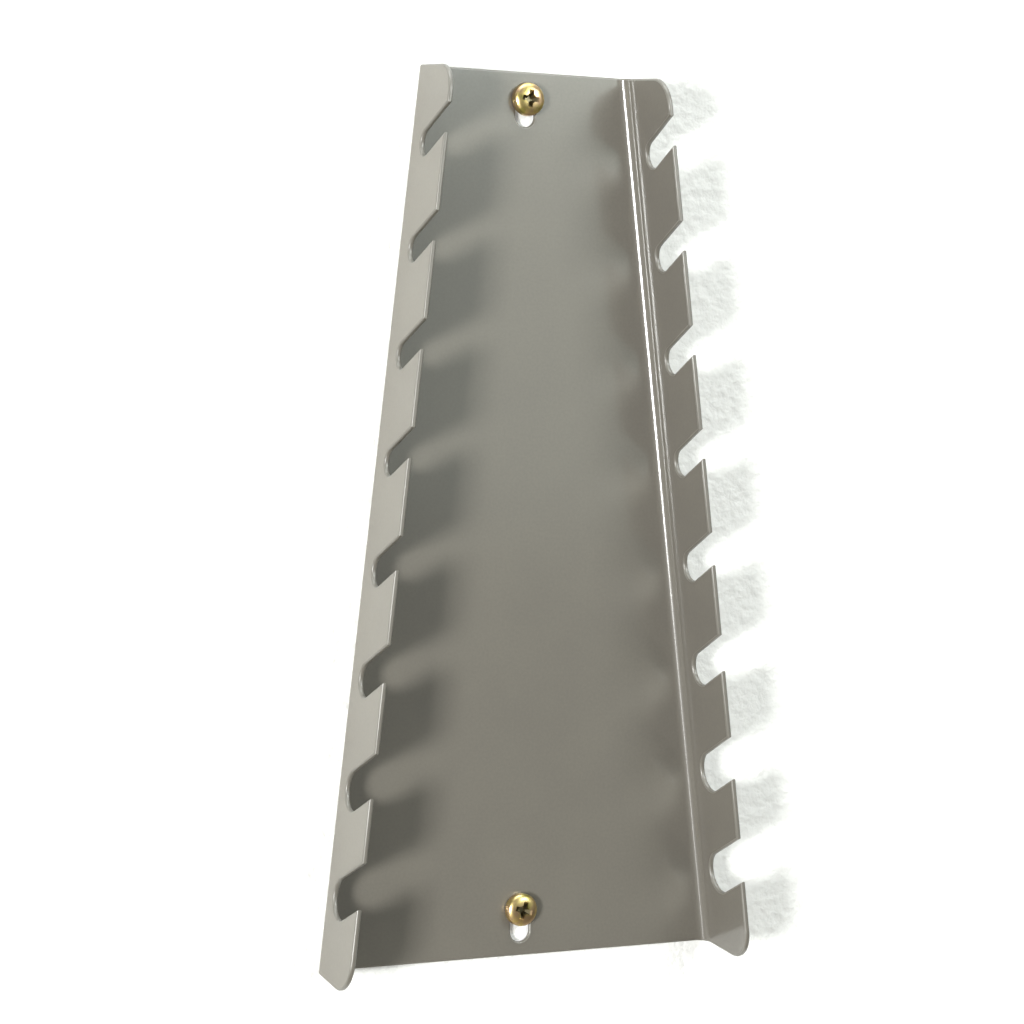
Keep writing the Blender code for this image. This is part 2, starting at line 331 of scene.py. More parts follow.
blank = filled_curve("rack_sheet", blank_outlines, SHEET, EDGE_RADIUS)
blank.transform(Matrix.Rotation(pi / 2, 4, "X"))
shape = bmesh.new()
shape.from_mesh(blank)
bmesh.ops.remove_doubles(shape, verts=shape.verts, dist=WELD)
cut_bend_lines(shape)
bmesh.ops.recalc_face_normals(shape, faces=shape.faces)
print("blank volume mm3:", round(shape.calc_volume(signed=True) / MM ** 3, 1))
shape.to_mesh(blank)
shape.free()


# %% Note how hazy the coat is on each face
def haze_and_painted_sheen(face):
    """Haze of the clear layer on a face of the flat blank, whose front looks along -Y; on the back faces it
    also sets the painted sheen.
    """
    if face.normal.y > FLAT:
        return BACK_HAZE
    return FRONT_HAZE if face.normal.y < -FLAT else EDGE_HAZE


hazes = [haze_and_painted_sheen(face) for face in blank.polygons]
blank.attributes.new("haze_and_painted_sheen", "FLOAT", "FACE").data.foreach_set("value", hazes)
print("faces on the front:", hazes.count(FRONT_HAZE))

# %% [markdown]
# ## The folds
#
# Each flange is bent forward along a straight line. A rule says where every point of the blank goes: up
# to the bend's start nothing moves, on the bend a point wraps round the bend's centre at its own radius,
# and past the bend it stands straight out from the wall. Geometry Nodes can hold such a rule in one Set
# Position node, so the folds stay adjustable. Both sides are alike, so the rule is worked out for the
# right side, on the point's distance from the middle line, and the sign is put back at the end.

# %% The fold rule, with Geometry Nodes
fold_inputs = {
    "Outer radius": "NodeSocketFloat",
    "Taper": "NodeSocketFloat",
    "Bend start": "NodeSocketVector",
    "Coat": "NodeSocketMaterial",
}
folds, given, result = new_tree("fold_flanges", fold_inputs)
radius = given.outputs["Outer radius"]
spot = add(folds, "ShaderNodeSeparateXYZ", (add(folds, "GeometryNodeInputPosition").outputs[0],))
side = add(folds, "ShaderNodeMath", (spot.outputs["X"],), operation="SIGN").outputs[0]
width = add(folds, "ShaderNodeMath", (spot.outputs["X"],), operation="ABSOLUTE").outputs[0]
flat = add(folds, "ShaderNodeCombineXYZ", {"X": width, "Z": spot.outputs["Z"]}).outputs[0]
lean = add(folds, "ShaderNodeMath", (given.outputs["Taper"],), operation="COSINE").outputs[0]
rise = add(folds, "ShaderNodeMath", (given.outputs["Taper"],), operation="SINE").outputs[0]
across = add(folds, "ShaderNodeCombineXYZ", {"X": lean, "Z": rise}).outputs[0]
first = given.outputs["Bend start"]
offset = add(folds, "ShaderNodeVectorMath", (flat, first), operation="SUBTRACT").outputs[0]
past = add(folds, "ShaderNodeVectorMath", (offset, across), operation="DOT_PRODUCT").outputs["Value"]
moved = add(folds, "ShaderNodeMath", (past, 0.0), operation="MAXIMUM").outputs[0]
bend = add(folds, "ShaderNodeMath", (radius, pi / 2), operation="MULTIPLY").outputs[0]
wrapped = add(folds, "ShaderNodeMath", (moved, bend), operation="MINIMUM").outputs[0]
straight = add(folds, "ShaderNodeMath", (moved, wrapped), operation="SUBTRACT").outputs[0]
turn = add(folds, "ShaderNodeMath", (wrapped, radius), operation="DIVIDE").outputs[0]
sine = add(folds, "ShaderNodeMath", (turn,), operation="SINE").outputs[0]
cosine = add(folds, "ShaderNodeMath", (turn,), operation="COSINE").outputs[0]
own = add(folds, "ShaderNodeMath", (radius, spot.outputs["Y"]), operation="ADD").outputs[0]
round_out = add(folds, "ShaderNodeMath", (own, sine), operation="MULTIPLY").outputs[0]
reach = add(folds, "ShaderNodeMath", (straight, cosine, round_out), operation="MULTIPLY_ADD").outputs[0]
shift = add(folds, "ShaderNodeMath", (reach, moved), operation="SUBTRACT").outputs[0]
round_up = add(folds, "ShaderNodeMath", (own, cosine), operation="MULTIPLY").outputs[0]
forward = add(folds, "ShaderNodeMath", (round_up, radius), operation="SUBTRACT").outputs[0]
stand = add(folds, "ShaderNodeMath", (straight, sine), operation="MULTIPLY").outputs[0]
depth = add(folds, "ShaderNodeMath", (forward, stand), operation="SUBTRACT").outputs[0]
slid = add(folds, "ShaderNodeVectorMath", {0: across, 1: flat, "Scale": shift}, operation="SCALE").outputs[0]
new = add(folds, "ShaderNodeVectorMath", (flat, slid), operation="ADD").outputs[0]
new = add(folds, "ShaderNodeSeparateXYZ", (new,))
back = add(folds, "ShaderNodeMath", (new.outputs["X"], side), operation="MULTIPLY").outputs[0]
folded = add(folds, "ShaderNodeCombineXYZ", (back, depth, new.outputs["Z"])).outputs[0]
sheet = given.outputs["Geometry"]
bent = add(folds, "GeometryNodeSetPosition", {"Geometry": sheet, "Position": folded}).outputs[0]
real = add(folds, "GeometryNodeRealizeInstances", (bent,)).outputs[0]
painted = add(folds, "GeometryNodeSetMaterial", {"Geometry": real, "Material": given.outputs["Coat"]})
folds.links.new(painted.outputs[0], result.inputs[0])
print("fold tree:", len(folds.nodes), "nodes")

# %% Fold the blank
blank.shade_smooth()
blank.set_sharp_from_angle(angle=SHEET_CREASE)
rack_sheet = new_object("rack_sheet", blank)
run_tree(rack_sheet, folds, {
    "Outer radius": outer_radius,
    "Taper": taper,
    "Bend start": (bend_start.x, 0, bend_start.y),
    "Coat": coat,
})
normals = rack_sheet.modifiers.new("flat_faces_lead", "WEIGHTED_NORMAL")
normals.keep_sharp = True
settle(rack_sheet)
print("rack_sheet:", len(rack_sheet.data.polygons), "faces")

# %% [markdown]
# ## Yellow zinc
#
# The screws are steel with a thin coat of zinc, dipped in a yellow passivate. The film is so thin that
# its colour drifts from straw to pink and olive, as oil does on water. A metallic Principled shader takes
# that drift from noise: patches of a few millimetres blend the three tints. Painted shade darkens the
# recess: the mesh carries how deep each point lies below the crown, and the colour follows that depth.

# %% The yellow zinc
STRAW = "DEC686"
PINK = "CFB08A"
OLIVE = "AEA45C"
# painted shade in the recess, in full at this depth below the crown
RECESS_SHADE = "857C62"
RECESS_SHADE_DEPTH = 0.7 * MM
TINT_PATCH = 3.0 * MM
SCRATCH = 0.35 * MM
SCRATCH_DEPTH = 0.01 * MM

zinc, tree, shader = new_material("yellow_zinc_passivate")
place = add(tree, "ShaderNodeTexCoord").outputs["Object"]
drift = add(tree, "ShaderNodeTexNoise", {"Vector": place, "Scale": 1 / TINT_PATCH, "Detail": 2.0})
scuff = add(tree, "ShaderNodeTexNoise", {"Vector": place, "Scale": 1 / SCRATCH, "Detail": 2.0})
tint = add(tree, "ShaderNodeValToRGB", {"Fac": drift.outputs["Fac"]})
stops = tint.color_ramp.elements
stops[0].position = 0.38
stops[0].color = linear(PINK)
stops[1].position = 0.7
stops[1].color = linear(OLIVE)
stops.new(0.54).color = linear(STRAW)
gloss = add(tree, "ShaderNodeMapRange", {"Value": scuff.outputs["Fac"], "To Min": 0.28, "To Max": 0.4})
wear = add(tree, "ShaderNodeBump", {"Distance": SCRATCH_DEPTH, "Height": scuff.outputs["Fac"]})
# painted shade: the deeper a point of the recess, the darker its colour
sunk = add(tree, "ShaderNodeAttribute", attribute_name="recess")
recess_shade = add(tree, "ShaderNodeMapRange", {"Value": sunk.outputs["Fac"], "From Max": RECESS_SHADE_DEPTH})
tints_and_shade = {0: recess_shade.outputs[0], 6: tint.outputs["Color"], 7: linear(RECESS_SHADE)}
metal = add(tree, "ShaderNodeMix", tints_and_shade, data_type="RGBA")
tree.links.new(metal.outputs[2], shader.inputs["Base Color"])
tree.links.new(gloss.outputs[0], shader.inputs["Roughness"])
tree.links.new(wear.outputs[0], shader.inputs["Normal"])
shader.inputs["Metallic"].default_value = 1.0
print("made", zinc.name)

# %% [markdown]
# ## The screws
#
# Each screw is a pan head with a cross recess on a threaded shank. The head and the core are turned: one
# profile spun round the axis. The recess is cut with a tapered cross. The thread follows a helix, so
# Geometry Nodes draw it: a spiral curve is narrowed at the point and swept with a diamond profile, half
# of it sunk in the core. Both screws share the tree, each with its own turn of the cross.

# %% Sizes of the screws
SCREW_DIAMETER = 4.8 * MM
SCREW_LENGTH = 38.0 * MM
CORE_DIAMETER = 3.4 * MM
NECK_LENGTH = 1.6 * MM
NECK_TRIM = 0.3 * MM                # the neck is this much inside the thread
NECK_TAPER = 0.4 * MM
POINT_LENGTH = 6.0 * MM
THREAD_PITCH = 2.1 * MM
THREAD_RUNOUT = 1.4 * MM
THREAD_SINK = 0.05 * MM             # the thread's middle lies just inside the core
TIP_BLUNT = 0.4 * MM
HEAD_DIAMETER = 9.5 * MM
HEAD_HEIGHT = 3.3 * MM
HEAD_RIM = 1.3 * MM
RIM_ROUND = 0.15 * MM
PAN_SHAPE = 2.6                     # 2 is an ellipse; more gives a flat top and round shoulders
RECESS_SPAN = 5.2 * MM              # where the arms end on the crown
RECESS_MOUTH = 3.1 * MM             # height of the crown there
RECESS_WIDTH = 1.4 * MM
RECESS_DEPTH = 2.1 * MM
RECESS_TAPER = 0.42
ROUND_STEPS = 64
CROWN_STEPS = 18
CREASE = radians(28)
UPPER_CROSS = radians(6)            # turn of each recess, as the driver left it
LOWER_CROSS = radians(18)
UPPER_SCREW_RISE = 1.6 * MM         # above the middle of its slot
GAP = 0.3 * MM
screw_side = (SCREW_SLOT_WIDTH - SCREW_DIAMETER) / 2 - GAP
upper_level = top - UPPER_SLOT_DROP + UPPER_SCREW_RISE
lower_level = LOWER_SLOT_RISE - top + (SCREW_SLOT_LENGTH - SCREW_DIAMETER) / 2 - GAP
print("screw levels mm:", round(upper_level / MM, 2), round(lower_level / MM, 2))


# %% Turn the head and the core, and cut the recess
def turned(name, profile):
    """Closed mesh of a profile of (radius, height) pairs that starts and ends on the axis."""
    made = bpy.data.meshes.new(name)
    shape = bmesh.new()
    verts = [shape.verts.new((radius, 0, height)) for radius, height in profile]
    edges = [shape.edges.new(pair) for pair in zip(verts, verts[1:])]
    full_turn = {"cent": (0, 0, 0), "axis": (0, 0, 1), "angle": 2 * pi, "steps": ROUND_STEPS}
    bmesh.ops.spin(shape, geom=verts + edges, **full_turn)
    bmesh.ops.remove_doubles(shape, verts=shape.verts, dist=WELD)
    bmesh.ops.recalc_face_normals(shape, faces=shape.faces)
    shape.to_mesh(made)
    shape.free()
    return made


def crown_height(across):
    """Height of the pan head at this distance from its axis."""
    share = min(across / (HEAD_DIAMETER / 2), 1)
    return HEAD_RIM + (HEAD_HEIGHT - HEAD_RIM) * (1 - share ** PAN_SHAPE) ** (1 / PAN_SHAPE)


def screw_profile():
    """Crown, rim, bearing face, neck, core and point."""
    rim, core, neck = HEAD_DIAMETER / 2, CORE_DIAMETER / 2, SCREW_DIAMETER / 2 - NECK_TRIM
    steps = [rim * sin(pi / 2 * k / CROWN_STEPS) for k in range(CROWN_STEPS + 1)]
    crown = [(across, crown_height(across)) for across in steps]
    rim_foot = [(rim, RIM_ROUND), (rim - RIM_ROUND, 0)]
    neck_sides = [(neck, 0), (neck, -NECK_LENGTH)]
    core_sides = [(core, -NECK_LENGTH - NECK_TAPER), (core, POINT_LENGTH - SCREW_LENGTH)]
    return [*crown, *rim_foot, *neck_sides, *core_sides, (0, -SCREW_LENGTH)]


def mark_recess(mesh, place):
    """Keeps how deep each point of the head lies below the crown, for the painted shade in the recess."""
    upright = place.inverted()
    depths = mesh.attributes.new("recess", "FLOAT", "POINT")
    for vert, depth in zip(mesh.vertices, depths.data):
        point = upright @ vert.co
        across = hypot(point.x, point.y)
        if point.z > 0 and across < RECESS_SPAN / 2:
            depth.value = crown_height(across) - point.z


def recess_cutter():
    """Tapered cross with a wider middle, as the driver's tip has."""
    arm, half, core = RECESS_SPAN / 2, RECESS_WIDTH / 2, RECESS_WIDTH * 0.95
    quarter = [Vector((arm, -half)), Vector((arm, half)), Vector((core, half)), Vector((half, core))]
    outline = [Matrix.Rotation(pi / 2 * k, 2) @ point for k in range(4) for point in quarter]
    floor_level, lid_level = HEAD_HEIGHT - RECESS_DEPTH, HEAD_HEIGHT + GAP
    spread = 1 + (1 - RECESS_TAPER) * (lid_level - RECESS_MOUTH) / (RECESS_MOUTH - floor_level)
    mesh = bpy.data.meshes.new("recess")
    shape = bmesh.new()
    floor = shape.faces.new([shape.verts.new((*point * RECESS_TAPER, floor_level)) for point in outline])
    lid = bmesh.ops.extrude_face_region(shape, geom=[floor])["geom"]
    for vert in [item for item in lid if isinstance(item, bmesh.types.BMVert)]:
        vert.co = (vert.co.x * spread / RECESS_TAPER, vert.co.y * spread / RECESS_TAPER, lid_level)
    bmesh.ops.recalc_face_normals(shape, faces=shape.faces)
    shape.to_mesh(mesh)
    shape.free()
    return mesh


print("points of the screw's profile:", len(screw_profile()))

# %% The thread, with Geometry Nodes
thread_inputs = {
    "Pitch": "NodeSocketFloat",
    "Length": "NodeSocketFloat",
    "Core radius": "NodeSocketFloat",
    "Thread depth": "NodeSocketFloat",
    "Tip level": "NodeSocketFloat",
    "Point length": "NodeSocketFloat",
    "Finish": "NodeSocketMaterial",
}
threads, given, result = new_tree("screw_thread", thread_inputs)
length, pitch = given.outputs["Length"], given.outputs["Pitch"]
turns = add(threads, "ShaderNodeMath", (length, pitch), operation="DIVIDE").outputs[0]
helix = add(threads, "GeometryNodeCurveSpiral", {
    "Resolution": 40,
    "Rotations": turns,
    "Start Radius": given.outputs["Core radius"],
    "End Radius": given.outputs["Core radius"],
    "Height": length,
}).outputs[0]
spot = add(threads, "ShaderNodeSeparateXYZ", (add(threads, "GeometryNodeInputPosition").outputs[0],))
narrow = add(threads, "ShaderNodeMapRange", {
    "Value": spot.outputs["Z"],
    "From Max": given.outputs["Point length"],
    "To Min": 0.1,
}).outputs[0]
thin = add(threads, "ShaderNodeCombineXYZ", (narrow, narrow, 1.0)).outputs[0]
whole = add(threads, "GeometryNodeInputPosition").outputs[0]
tapered = add(threads, "ShaderNodeVectorMath", (whole, thin), operation="MULTIPLY").outputs[0]
lift = add(threads, "ShaderNodeCombineXYZ", {"Z": given.outputs["Tip level"]}).outputs[0]
path = add(threads, "GeometryNodeSetPosition", {
    "Geometry": helix,
    "Position": tapered,
    "Offset": lift,
}).outputs[0]
path = add(threads, "GeometryNodeSetCurveNormal", {"Curve": path}, mode="Z_UP").outputs[0]
ridge = add(threads, "GeometryNodeCurvePrimitiveCircle", {
    "Resolution": 4,
    "Radius": given.outputs["Thread depth"],
}).outputs[0]
flat_ridge = add(threads, "GeometryNodeTransform", {"Geometry": ridge, "Scale": (1.0, 0.6, 1.0)}).outputs[0]
sweep = add(threads, "GeometryNodeCurveToMesh", {
    "Curve": path,
    "Profile Curve": flat_ridge,
    "Fill Caps": True,
}).outputs[0]
joined = add(threads, "GeometryNodeJoinGeometry")
threads.links.new(given.outputs["Geometry"], joined.inputs[0])
threads.links.new(sweep, joined.inputs[0])
real = add(threads, "GeometryNodeRealizeInstances", (joined.outputs[0],)).outputs[0]
finished = add(threads, "GeometryNodeSetMaterial", {"Geometry": real, "Material": given.outputs["Finish"]})
threads.links.new(finished.outputs[0], result.inputs[0])
print("thread tree:", len(threads.nodes), "nodes")


# %% Make both screws
def make_screw(name, spot, turn):
    """Screw with its head in front of the sheet, its cross turned and its point in the wall."""
    screw = new_object(name, turned(name, screw_profile()))
    cutter = new_object("recess", recess_cutter())
    cut = screw.modifiers.new("recess", "BOOLEAN")
    cut.solver = "EXACT"
    cut.object = cutter
    run_tree(screw, threads, {
        "Pitch": THREAD_PITCH,
        "Length": SCREW_LENGTH - NECK_LENGTH - THREAD_RUNOUT,
        "Core radius": CORE_DIAMETER / 2 - THREAD_SINK,
        "Thread depth": (SCREW_DIAMETER - CORE_DIAMETER) / 2,
        "Tip level": TIP_BLUNT - SCREW_LENGTH,
        "Point length": POINT_LENGTH,
        "Finish": zinc,
    })
    place = Matrix.Translation(spot) @ Matrix.Rotation(turn, 4, "Y") @ Matrix.Rotation(pi / 2, 4, "X")
    settle(screw, place)
    mark_recess(screw.data, place)
    bpy.data.objects.remove(cutter)
    screw.data.shade_smooth()
    screw.data.set_sharp_from_angle(angle=CREASE)
    print(name, len(screw.data.polygons), "faces")
    return screw


seat = -SHEET - GAP
upper_screw = make_screw("upper_pan_screw", (screw_side, seat, upper_level), UPPER_CROSS)
lower_screw = make_screw("lower_pan_screw", (-screw_side, seat, lower_level), LOWER_CROSS)

# %% [markdown]
# ## Nylon
#
# Wall plugs are moulded nylon, left its grey colour: slightly waxy, with a soft sheen and a faint drag
# from the mould. Noise gives the surface a fine unevenness.

# %% The grey nylon
NYLON_LIGHT = "A7A8AA"
NYLON_DARK = "9C9DA0"
FLOW_MARK = 4.0 * MM
PORE = 0.4 * MM
PORE_DEPTH = 0.02 * MM

nylon, tree, shader = new_material("moulded_nylon")
place = add(tree, "ShaderNodeTexCoord").outputs["Object"]
flow = add(tree, "ShaderNodeTexNoise", {"Vector": place, "Scale": 1 / FLOW_MARK, "Detail": 2.0})
rough = add(tree, "ShaderNodeTexNoise", {"Vector": place, "Scale": 1 / PORE})
greys = {0: flow.outputs["Fac"], 6: linear(NYLON_DARK), 7: linear(NYLON_LIGHT)}
shade = add(tree, "ShaderNodeMix", greys, data_type="RGBA")
pores = add(tree, "ShaderNodeBump", {"Distance": PORE_DEPTH, "Height": rough.outputs["Fac"]})
tree.links.new(shade.outputs[2], shader.inputs["Base Color"])
tree.links.new(pores.outputs[0], shader.inputs["Normal"])
shader.inputs["Roughness"].default_value = 0.45
shader.inputs["IOR"].default_value = 1.53
print("made", nylon.name)

# %% [markdown]
# ## The wall plugs
#
# A plug is a split tube with a row of barbs that grip the wall. The barbs repeat along a line, so
# Geometry Nodes make them: a line is divided into twice as many steps as there are barbs, every other
# point is wide or narrow, and a circle swept along it gives the body. The bore and the slit are cut by
# Mesh Boolean nodes.

# %% Sizes of the plugs
PLUG_LENGTH = 35.0 * MM
PLUG_COLLAR = 5.0 * MM
PLUG_SINK = 2.3 * MM
PLUG_BORE = SCREW_DIAMETER + 2 * GAP
PLUG_DIAMETER = PLUG_BORE + 2.6 * MM
BARB_COUNT = 6
BARB_DEPTH = 0.6 * MM
BARB_RAKE = 2.5                     # how far a barb's foot leans back, in barb depths
SLIT_WIDTH = 1.2 * MM
SLIT_START = 10.0 * MM
PLUG_STEPS = 48
print("plug diameter mm:", round(PLUG_DIAMETER / MM, 2))

# %% The barbed body, with Geometry Nodes
plug_inputs = {
    "Length": "NodeSocketFloat",
    "Collar": "NodeSocketFloat",
    "Outer radius": "NodeSocketFloat",
    "Bore radius": "NodeSocketFloat",
    "Barbs": "NodeSocketInt",
    "Barb depth": "NodeSocketFloat",
    "Slit width": "NodeSocketFloat",
    "Slit start": "NodeSocketFloat",
    "Finish": "NodeSocketMaterial",
}
plugs, given, result = new_tree("barbed_plug", plug_inputs)
outer, length = given.outputs["Outer radius"], given.outputs["Length"]
far = add(plugs, "ShaderNodeMath", (length, -1.0), operation="MULTIPLY").outputs[0]
near = add(plugs, "ShaderNodeMath", (given.outputs["Collar"], -1.0), operation="MULTIPLY").outputs[0]
far_point = add(plugs, "ShaderNodeCombineXYZ", {"Z": far}).outputs[0]
near_point = add(plugs, "ShaderNodeCombineXYZ", {"Z": near}).outputs[0]
line = add(plugs, "GeometryNodeCurvePrimitiveLine", {"Start": near_point, "End": far_point}).outputs[0]
barbs = given.outputs["Barbs"]
count = add(plugs, "ShaderNodeMath", (barbs, 2.0, 1.0), operation="MULTIPLY_ADD").outputs[0]
steps = add(plugs, "GeometryNodeResampleCurve", {"Curve": line, "Count": count}).outputs[0]
index = add(plugs, "GeometryNodeInputIndex").outputs[0]
odd = add(plugs, "ShaderNodeMath", (index, 2.0), operation="MODULO").outputs[0]
cut_in = add(plugs, "ShaderNodeMath", (odd, given.outputs["Barb depth"]), operation="MULTIPLY").outputs[0]
wide = add(plugs, "ShaderNodeMath", (outer, cut_in), operation="SUBTRACT").outputs[0]
slope = add(plugs, "ShaderNodeMath", (cut_in, -BARB_RAKE), operation="MULTIPLY").outputs[0]
slide = add(plugs, "ShaderNodeCombineXYZ", {"Z": slope}).outputs[0]
teeth = add(plugs, "GeometryNodeSetPosition", {"Geometry": steps, "Offset": slide}).outputs[0]
circle = add(plugs, "GeometryNodeCurvePrimitiveCircle", {"Resolution": PLUG_STEPS, "Radius": 1.0}).outputs[0]
barbed = add(plugs, "GeometryNodeCurveToMesh", {
    "Curve": teeth,
    "Profile Curve": circle,
    "Scale": wide,
    "Fill Caps": True,
}).outputs[0]
collar = add(plugs, "GeometryNodeMeshCylinder", {
    "Vertices": PLUG_STEPS,
    "Radius": outer,
    "Depth": given.outputs["Collar"],
}).outputs[0]
half_collar = add(plugs, "ShaderNodeMath", (near, 0.5), operation="MULTIPLY").outputs[0]
collar_place = add(plugs, "ShaderNodeCombineXYZ", {"Z": half_collar}).outputs[0]
collar = add(plugs, "GeometryNodeTransform", {"Geometry": collar, "Translation": collar_place}).outputs[0]
body = add(plugs, "GeometryNodeMeshBoolean", operation="UNION", solver="EXACT")
plugs.links.new(barbed, body.inputs["Mesh 2"])
plugs.links.new(collar, body.inputs["Mesh 2"])
print("body of the plug:", len(plugs.nodes), "nodes")

# %% Bore and slit
drill_length = add(plugs, "ShaderNodeMath", (length, 3.0), operation="MULTIPLY").outputs[0]
drill = add(plugs, "GeometryNodeMeshCylinder", {
    "Vertices": PLUG_STEPS,
    "Radius": given.outputs["Bore radius"],
    "Depth": drill_length,
}).outputs[0]
slit_start = given.outputs["Slit start"]
saw_height = add(plugs, "ShaderNodeMath", (length, slit_start), operation="SUBTRACT").outputs[0]
saw_double = add(plugs, "ShaderNodeMath", (saw_height, 2.0), operation="MULTIPLY").outputs[0]
saw_span = add(plugs, "ShaderNodeMath", (outer, 4.0), operation="MULTIPLY").outputs[0]
saw_size = add(plugs, "ShaderNodeCombineXYZ", (given.outputs["Slit width"], saw_span, saw_double)).outputs[0]
saw = add(plugs, "GeometryNodeMeshCube", {"Size": saw_size}).outputs[0]
saw = add(plugs, "GeometryNodeTransform", {"Geometry": saw, "Translation": far_point}).outputs[0]
hollow = add(plugs, "GeometryNodeMeshBoolean", {"Mesh 1": body.outputs[0]}, solver="EXACT")
hollow.operation = "DIFFERENCE"
plugs.links.new(drill, hollow.inputs["Mesh 2"])
plugs.links.new(saw, hollow.inputs["Mesh 2"])
real = add(plugs, "GeometryNodeRealizeInstances", (hollow.outputs[0],)).outputs[0]
finished = add(plugs, "GeometryNodeSetMaterial", {"Geometry": real, "Material": given.outputs["Finish"]})
plugs.links.new(finished.outputs[0], result.inputs[0])
print("whole plug:", len(plugs.nodes), "nodes")


# %% Make both plugs
def make_plug(name, spot):
    plug = new_object(name, bpy.data.meshes.new(name))
    run_tree(plug, plugs, {
        "Length": PLUG_LENGTH,
        "Collar": PLUG_COLLAR,
        "Outer radius": PLUG_DIAMETER / 2,
        "Bore radius": PLUG_BORE / 2,
        "Barbs": BARB_COUNT,
        "Barb depth": BARB_DEPTH,
        "Slit width": SLIT_WIDTH,
        "Slit start": SLIT_START,
        "Finish": nylon,
    })
    settle(plug, Matrix.Translation(spot) @ Matrix.Rotation(pi / 2, 4, "X"))
    plug.data.shade_smooth()
    plug.data.set_sharp_from_angle(angle=CREASE)
    print(name, len(plug.data.polygons), "faces")
    return plug


upper_plug = make_plug("upper_barbed_plug", (screw_side, PLUG_SINK, upper_level))
lower_plug = make_plug("lower_barbed_plug", (-screw_side, PLUG_SINK, lower_level))

# %% [markdown]
# ## Tell the frame which piece is which
#
# Each piece takes the place of the plain solid of the same thing and moves with that solid's body.

# %% Ride and replace
pieces = (
    (rack_sheet, "rack", "rack_body", "powder_coat"),
    (upper_screw, "upper_screw", "upper_screw", "yellow_zinc"),
    (lower_screw, "lower_screw", "lower_screw", "yellow_zinc"),
    (upper_plug, "wall_plugs", "upper_wall_plug", "plug_nylon"),
    (lower_plug, "wall_plugs", "lower_wall_plug", "plug_nylon"),
)
for piece, body, node, slot in pieces:
    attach(piece, body)
    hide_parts(node)
print("pieces:", [piece.name for piece, *_ in pieces])

# %% [markdown]
# ## Wall and floor
#
# The rack hangs on a white wall, and the shadows of its teeth fall there. The wall is a backdrop and not
# part of the object. From behind it is clear, so that the back of the rack and the plugs can be looked at.
# It is left open where the plate covers it, so that the back of the plate faces the room behind. Only
# behind the screw slots, where the wall shows, a patch of the slot's shape closes the opening. A pale floor
# lies well below. Both show a little brighter to the camera, but not in reflections.

# %% The backdrop
WALL_GAP = 0.25 * MM
OPENING_MARGIN = 1.5 * MM           # past the start of the folds, still hidden behind them
OPENING_INSET = 0.5 * MM            # from the plate's top and bottom edges
ROOM_HALF = 3.0
WALL_TOP = 2.0
FLOOR_LEVEL = -1.1
PLASTER = 3.0 * MM                  # lumps of the wall
PLASTER_DEPTH = 0.8 * MM
WALL_WHITE = "E1E1DF"
WALL_GLOW = 0.17
FLOOR_GREY = "8C867C"
FLOOR_GLOW = 0.55


def pale(name, colour, glow, one_sided):
    """Matt pale surface that shows a little brighter to the camera than to the lamps."""
    made, tree, shader = new_material(name)
    tree.nodes.remove(shader)
    path = add(tree, "ShaderNodeLightPath")
    power = add(tree, "ShaderNodeMath", (path.outputs["Is Camera Ray"], glow), operation="MULTIPLY")
    shine = add(tree, "ShaderNodeEmission", {"Strength": power.outputs[0]})
    place = add(tree, "ShaderNodeTexCoord").outputs["Object"]
    lumps = add(tree, "ShaderNodeTexNoise", {"Vector": place, "Scale": 1 / PLASTER, "Detail": 4.0})
    relief = add(tree, "ShaderNodeBump", {"Distance": PLASTER_DEPTH, "Height": lumps.outputs["Fac"]})
    matt = add(tree, "ShaderNodeBsdfDiffuse", {"Color": linear(colour), "Normal": relief.outputs[0]})
    surface = add(tree, "ShaderNodeAddShader", (matt.outputs[0], shine.outputs[0]))
    if one_sided:
        clear = add(tree, "ShaderNodeBsdfTransparent")
        back = add(tree, "ShaderNodeNewGeometry").outputs["Backfacing"]
        surface = add(tree, "ShaderNodeMixShader", (back, surface.outputs[0], clear.outputs[0]))
    tree.links.new(surface.outputs[0], tree.nodes["Material Output"].inputs["Surface"])
    return made


def backdrop(name, points, faces, material):
    mesh = bpy.data.meshes.new(name)
    mesh.from_pydata(points, [], faces)
    mesh.materials.append(material)
    made = new_object(name, mesh)
    return made


def on_wall(point):
    return (point.x, WALL_GAP, point.y)


rim = [
    Vector((-ROOM_HALF, FLOOR_LEVEL)),
    Vector((ROOM_HALF, FLOOR_LEVEL)),
    Vector((ROOM_HALF, WALL_TOP)),
    Vector((-ROOM_HALF, WALL_TOP)),
]
behind_fold = bend_start + outwards * OPENING_MARGIN
upper_edge = behind_fold + down_fold * OPENING_INSET
lower_edge = behind_fold + down_fold * (fold_length - OPENING_INSET)
opening = [
    Vector((-lower_edge.x, lower_edge.y)),
    lower_edge,
    upper_edge,
    Vector((-upper_edge.x, upper_edge.y)),
]
wall_points = [on_wall(point) for point in rim + opening + upper_slot + lower_slot]
wall_faces = [(k, (k + 1) % 4, (k + 1) % 4 + 4, k + 4) for k in range(4)]
slot_corners = range(len(rim + opening), len(wall_points))
wall_faces += [slot_corners[:len(upper_slot)], slot_corners[len(upper_slot):]]
wall = backdrop("wall", wall_points, wall_faces, pale("white_wall", WALL_WHITE, WALL_GLOW, True))
sides = (-ROOM_HALF, ROOM_HALF)
floor_corners = [(x, y, FLOOR_LEVEL) for y in sides for x in sides]
backdrop("floor", floor_corners, [(0, 1, 3, 2)], pale("pale_floor", FLOOR_GREY, FLOOR_GLOW, False))
print("wall faces", {tuple(round(number) for number in face.normal) for face in wall.data.polygons})

